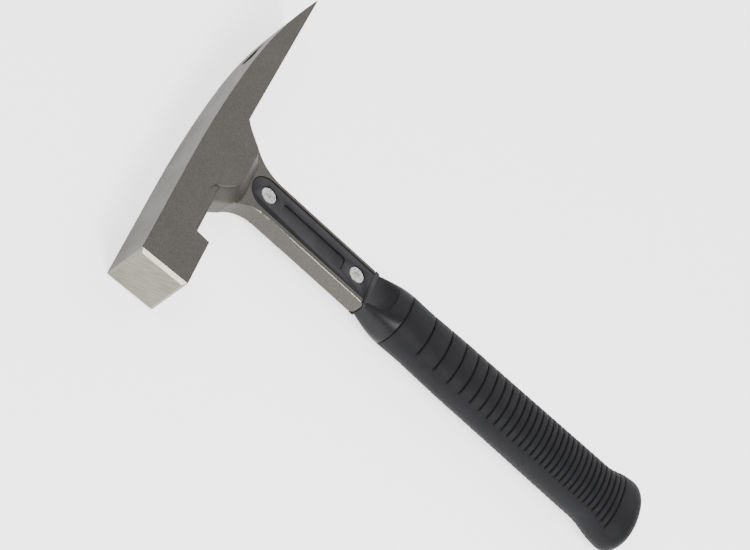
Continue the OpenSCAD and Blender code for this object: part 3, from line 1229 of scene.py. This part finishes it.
@dataclass
class Grip:
    """The rubber sleeve with its finger grooves and flared butt. Sizes are in millimetres."""

    place: Place
    core: Core
    rubber: bpy.types.Material
    end: float = 275.0
    centre: float = 87.2
    drift: float = 1.9
    waist_half: Point2 = (16.0, 11.0)
    butt_half: Point2 = (21.0, 12.5)
    swell: float = 42.0
    waist: float = 16.0
    belly: float = 150.0
    flare: Point2 = (248.0, 264.5)
    butt_power: float = 2.5
    butt_angles: tuple[int, int, int] = (4, 88, 4)
    power: float = 2.2
    lip: float = 0.6
    lip_draw: float = 0.055
    top_rings: tuple[float, ...] = (0.1, 0.25, 0.4, 0.6, 3.0, 6.0, 9.0, 12.0)
    grooves: int = 30
    groove_start: float = 14.7
    groove_pitch: float = 3.0
    groove_spread: float = 7.4
    groove_decay: float = 0.78
    groove_width: float = 1.0
    groove_share: float = 0.62
    groove_depth: float = 0.85
    groove_rings: tuple[float, ...] = (-0.75, -0.5, -0.28, 0.0, 0.28, 0.5, 0.75)
    band: float = 22.5
    band_run_out: float = 4.0
    sides: int = 120
    bar: float = 10.0
    smooth_angle: float = 60.0

    def build(self) -> bpy.types.Object:
        """Makes the grip and dresses it.

        Returns:
            The finished grip.
        """
        grip = self._blank()
        self._shape(grip)
        shade(grip, self.smooth_angle)
        fit_out(grip, ["grip"], [self.rubber])
        return grip

    @property
    def start(self) -> float:
        """Returns the depth of the sleeve's upper edge."""
        return self.core.grip_top

    def groove_depths(self) -> list[float]:
        """Returns the depth of each groove: the spacing shrinks towards the butt."""
        first = self.start + self.groove_start
        spread = self.groove_spread / (1 - self.groove_decay)
        return [
            first + self.groove_pitch * i + spread * (1 - self.groove_decay ** i)
            for i in range(self.grooves)
        ]

    def _stations(self) -> list[float]:
        """Returns the depths at which the sleeve gets a ring of vertices."""
        rings = [self.start + below for below in self.top_rings]
        for depth in self.groove_depths():
            rings += [depth + share * self.groove_width for share in self.groove_rings]
        for angle in range(*self.butt_angles):
            rings.append(mix(self.flare[1], self.end, math.sin(math.radians(angle))))
        return sorted(set(round(ring, 4) for ring in rings))

    def _blank(self) -> bpy.types.Object:
        """Makes a round bar with a ring of vertices at every station."""
        clear_selection()
        bpy.ops.mesh.primitive_cylinder_add(
            vertices=self.sides, radius=self.bar * MM, depth=(self.end - self.start) * MM,
            location=self.place.at(self.centre, (self.start + self.end) / 2),
            rotation=(math.radians(90), 0, 0),
        )
        grip = settle(bpy.context.object)
        grip.name = grip.data.name = "hammer_grip"
        with editing(grip):
            for depth in self._stations():
                bpy.ops.mesh.select_all(action="SELECT")
                bpy.ops.mesh.bisect(plane_co=self.place.at(self.centre, depth), plane_no=(0, 1, 0))
        return grip

    def _half(self, depth: float) -> Pair:
        """Returns half the sleeve's width and half its thickness at a depth."""
        below, (flare, flare_end) = depth - self.start, self.flare
        rises = (
            (smooth_step(below / self.swell), smooth_step((depth - flare) / (flare_end - flare))),
            (smooth_step(below / self.waist), smooth_step((depth - self.belly) / (flare_end - self.belly))),
        )
        sizes = zip(self.core.top_half, self.waist_half, self.butt_half)
        return tuple(
            mix(top, waist, near) + (butt - waist) * far
            for (top, waist, butt), (near, far) in zip(sizes, rises)
        )

    def _closing(self, depth: float) -> float:
        """Returns how far the sleeve has closed in at a depth: 1 along the grip, 0 at the butt's end."""
        u = min(max((depth - self.flare[1]) / (self.end - self.flare[1]), 0.0), 1.0)
        butt = max(1 - u ** self.butt_power, 0.0) ** (1 / self.butt_power)
        lip = min(max((depth - self.start) / self.lip, 0.0), 1.0)
        return butt * (1 - self.lip_draw * (1 - lip) ** 2)

    def _dent(self, depth: float, around: float) -> float:
        """Returns the depth of the finger grooves at a point of the sleeve.

        Args:
            depth: Depth of the point.
            around: Angle of the point from the front, in degrees, from 0 to 180.
        """
        nearest = min(self.groove_depths(), key=lambda d: abs(d - depth))
        ending = min(max((around - self.band) / self.band_run_out, 0.0), 1.0)
        half = self.groove_width * self.groove_share * math.sqrt(1 - (1 - ending) ** 2)
        if half <= 0:
            return 0.0
        u = min(abs(depth - nearest) / half, 1.0)
        return self.groove_depth * (1 - smooth_step(u)) * math.sqrt(ending)

    def _shape(self, grip: bpy.types.Object) -> None:
        """Swells the round bar to the sleeve's form and presses the grooves into it."""
        middle = self.place.at(self.centre, 0)
        for vertex in grip.data.vertices:
            depth = self.place.depth_of(vertex.co.y)
            turn = math.atan2(vertex.co.z - middle.z, vertex.co.x - middle.x)
            closing = self._closing(depth)
            dent = self._dent(depth, 180 - abs(math.degrees(turn)))
            half = tuple(size * closing - dent for size in self._half(depth))
            run = self.centre + self.drift * (depth - self.start) / (self.end - self.start)
            vertex.co = oval_point(self.place, (run, depth), half, turn, self.power)


# ---- Rivets ----


@dataclass
class Rivets:
    """The four flat rivet heads, with the crossed marks of the punch. Sizes are in millimetres."""

    place: Place
    steel: bpy.types.Material
    radius: float = 4.0
    face_out: float = 4.3
    body: float = 2.2
    sides: int = 48
    rings: int = 14
    rim: float = 0.35
    rim_drop: float = 0.22
    rim_start: float = 0.97
    mark_pitch: float = 0.95
    mark_depth: float = 0.26
    fade: int = 6
    smooth_angle: float = 40.0

    def build(self) -> list[bpy.types.Object]:
        """Makes the first head and copies it to the other three seats.

        Returns:
            The four finished heads.
        """
        master = self._head()
        made = []
        for row, (run, depth) in RIVETS.items():
            for side, part in ((Side.UPPER, "post"), (Side.LOWER, "tube")):
                piece = master.copy()
                piece.data = master.data.copy()
                piece.name = piece.data.name = f"{row}_rivet_{part}_head"
                bpy.context.scene.collection.objects.link(piece)
                piece.rotation_euler.x = 0 if side is Side.UPPER else math.pi
                piece.location = self.place.at(run, depth, self.face_out * side.value)
                settle(piece)
                shade(piece, self.smooth_angle)
                fit_out(piece, [f"{row}_rivet_{part}"], [self.steel])
                made.append(piece)
        bpy.data.objects.remove(master)
        return made

    def _head(self) -> bpy.types.Object:
        """Makes one rivet head at the origin, facing up."""
        clear_selection()
        bpy.ops.mesh.primitive_cylinder_add(
            vertices=self.sides, radius=self.radius * MM, depth=self.body * MM,
            location=(0, 0, -self.body / 2 * MM),
        )
        head = settle(bpy.context.object)
        step = (self.radius - self.rim) / self.rings
        with editing(head):
            pick(head, "FACE", lambda f: f.normal.z > 0.9)
            for inset in (self.rim, *[step] * (self.rings - 1)):
                bpy.ops.mesh.inset(thickness=inset * MM, depth=0)
        self._press_marks(head)
        return head

    def _press_marks(self, head: bpy.types.Object) -> None:
        """Presses the crossed marks of the punch into the head's face."""
        waves = math.tau / self.mark_pitch / math.sqrt(2)
        for vertex in head.data.vertices:
            if vertex.co.z < -self.rim * MM:
                continue
            across, along = vertex.co.x / MM, vertex.co.y / MM
            reach = math.hypot(across, along) / self.radius
            marks = (math.sin(waves * (across + along)) * math.sin(waves * (across - along)) + 1) / 2
            dip = self.mark_depth * (1 - marks) * (1 - reach ** self.fade)
            vertex.co.z = -MM * (self.rim_drop if reach > self.rim_start else dip)


# ---- Studio ----


@dataclass(frozen=True)
class Softbox:
    """A square soft light that faces the hammer: place and side in metres, power in watts."""

    name: str
    at: Triple
    size: float
    power: float

    def hang(self) -> None:
        """Hangs the light in the studio."""
        data = bpy.data.lights.new(self.name, "AREA")
        data.shape, data.size, data.energy = "SQUARE", self.size, self.power
        light = bpy.data.objects.new(self.name, data)
        light.location = self.at
        light.rotation_euler = (-Vector(self.at)).to_track_quat("-Z", "Y").to_euler()
        bpy.context.scene.collection.objects.link(light)


@dataclass
class Studio:
    """Camera, floor and soft lights. Places are in metres."""

    camera_at: Triple = (-0.949541, 0.400383, 0.835894)
    camera_turn: Triple = (34.6883, -40.1237, -68.2870)
    focal_length: float = 140.518
    sensor: float = 36.0
    clip: Pair = (0.05, 20.0)
    floor_size: float = 6.0
    floor_drop: float = 0.0002
    sky: float = 0.45
    paint: FloorPaint = field(default_factory=FloorPaint)
    lights: tuple[Softbox, ...] = (
        Softbox("key", (-0.85, -0.38, 1.0), 0.5, 24.0),
        Softbox("side", (1.1, -0.43, 0.95), 1.3, 14.0),
        Softbox("top", (-0.2, 1.2, 1.6), 0.9, 11.0),
    )

    def build(self) -> None:
        """Sets up the camera, the floor and the lights."""
        self._camera()
        self._floor()
        self._sky()
        for light in self.lights:
            light.hang()

    def _camera(self) -> None:
        """Places the camera."""
        data = bpy.data.cameras.new("camera")
        data.lens = self.focal_length
        data.sensor_width = self.sensor
        data.clip_start, data.clip_end = self.clip
        camera = bpy.data.objects.new("camera", data)
        camera.location = self.camera_at
        camera.rotation_euler = [math.radians(a) for a in self.camera_turn]
        bpy.context.scene.collection.objects.link(camera)
        bpy.context.scene.camera = camera

    def _floor(self) -> None:
        """Lays the floor under the hammer."""
        clear_selection()
        low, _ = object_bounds()
        place = (0, 0, low[2] - self.floor_drop)
        bpy.ops.mesh.primitive_plane_add(size=self.floor_size, location=place)
        floor = settle(bpy.context.object)
        floor.name = "floor"
        floor.data.materials.append(self.paint.make())
        floor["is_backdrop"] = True

    def _sky(self) -> None:
        """Fills the studio with an even pale light."""
        world = bpy.data.worlds.new("studio")
        world.use_nodes = True
        background = world.node_tree.nodes["Background"]
        background.inputs["Color"].default_value = (1, 1, 1, 1)
        background.inputs["Strength"].default_value = self.sky
        bpy.context.scene.world = world


def main() -> None:
    """Builds the hammer and its studio."""
    place = Place.of_head()
    Studio().build()
    head = Head(place, BlastedSteel().make(), GroundSteel().make())
    head.build()
    core = Core(place, head, MouldedNylon().make())
    core.build()
    Grip(place, core, GripRubber().make()).build()
    Rivets(place, RivetSteel().make()).build()
    clear_selection()


if __name__ == "__main__":
    main()
